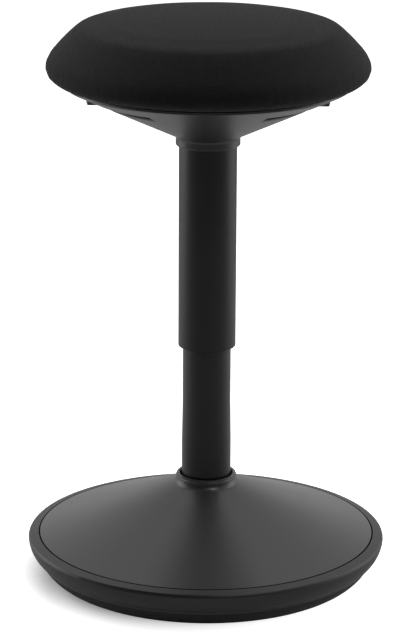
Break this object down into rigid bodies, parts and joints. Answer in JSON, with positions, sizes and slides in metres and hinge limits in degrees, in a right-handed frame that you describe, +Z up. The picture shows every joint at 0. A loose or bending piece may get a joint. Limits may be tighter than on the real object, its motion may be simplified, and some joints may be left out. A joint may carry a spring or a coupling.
{
  "type": "wobble stool",
  "caption": "Round padded sit-stand stool on a gas lift column with a weighted rocking base, finger recesses and release paddles under the seat.",
  "frame": {"origin": "on the floor, on the axis of the column", "axes": "+Z up the column, X through the two release paddles"},
  "size_m": [0.3639, 0.364, 0.5912],
  "materials": {
    "sole_rubber": "matt moulded rubber",
    "inner_plastic": "plain moulded plastic",
    "ring_plastic": "fine matt moulded texture",
    "iron": "rough cast, primed",
    "cover_black": "satin black with a fine texture",
    "zinc_steel": "zinc plated",
    "column_black": "matt black powder coat",
    "bright_steel": "ground bright steel",
    "lift_black": "black painted steel",
    "bracket_black": "black powder coat",
    "plywood": "raw plywood",
    "foam": "moulded grey foam",
    "seat_fabric": "black woven mesh fabric",
    "shell_plastic": "satin moulded plastic",
    "sleeve_black": "satin black with a fine texture",
    "paddle_plastic": "matt moulded plastic"
  },
  "bodies": {
    "base": {"rocker_sole": "sole_rubber", "base_pan": "inner_plastic", "rim_bumper": "ring_plastic", "base_weight": "iron", "base_cover": "cover_black", "base_screws": "zinc_steel", "column_tube": "column_black", "guide_bush": "inner_plastic", "bearing_lower_washer": "zinc_steel"},
    "bearing": {"bearing_cage": "inner_plastic", "bearing_balls": "bright_steel"},
    "spindle": {"piston_rod": "bright_steel", "bearing_upper_washer": "zinc_steel", "buffer_ring": "sole_rubber", "rod_washer": "zinc_steel", "rod_clip": "zinc_steel"},
    "seat": {"lift_cylinder": "lift_black", "rod_guide": "inner_plastic", "taper_socket": "bracket_black", "lever_bracket": "bracket_black", "mounting_plate": "bracket_black", "mounting_bolts": "zinc_steel", "t_nuts": "zinc_steel", "pivot_pins": "zinc_steel", "seat_pan": "plywood", "foam_pad": "foam", "seat_cover": "seat_fabric", "seat_shell": "shell_plastic", "shell_screws": "zinc_steel", "cover_sleeve": "sleeve_black"},
    "left_release": {"left_lever": "bracket_black", "left_paddle": "paddle_plastic"},
    "right_release": {"right_lever": "bracket_black", "right_paddle": "paddle_plastic"},
    "valve": {"release_pin": "bright_steel", "release_cap": "inner_plastic"}
  },
  "joints": [
    {"name": "seat_swivel", "type": "hinge", "parent": "base", "child": "spindle", "pos_m": [0, 0, 0.042], "axis": [0, 0, 1], "continuous": true},
    {"name": "cage_turn", "type": "hinge", "parent": "base", "child": "bearing", "pos_m": [0, 0, 0.042], "axis": [0, 0, 1], "continuous": true},
    {"name": "height_slide", "type": "slide", "parent": "spindle", "child": "seat", "axis": [0, 0, 1], "range_m": [0, 0.19]},
    {"name": "left_release_pull", "type": "hinge", "parent": "seat", "child": "left_release", "pos_m": [-0.04, 0, 0.514], "axis": [0, 1, 0], "range_deg": [0, 4.5], "stiffness_Nm_per_rad": 2.5, "springref_deg": -2.86},
    {"name": "right_release_pull", "type": "hinge", "parent": "seat", "child": "right_release", "pos_m": [0.04, 0, 0.514], "axis": [0, -1, 0], "range_deg": [0, 4.5]},
    {"name": "valve_press", "type": "slide", "parent": "seat", "child": "valve", "axis": [0, 0, -1], "range_m": [0, 0.00276]}
  ],
  "couplings": [
    {"joint": "cage_turn", "follows": "seat_swivel", "ratio": 0.5},
    {"joint": "right_release_pull", "follows": "left_release_pull", "ratio": 1},
    {"joint": "valve_press", "follows": "left_release_pull", "m_per_rad": 0.035}
  ]
}
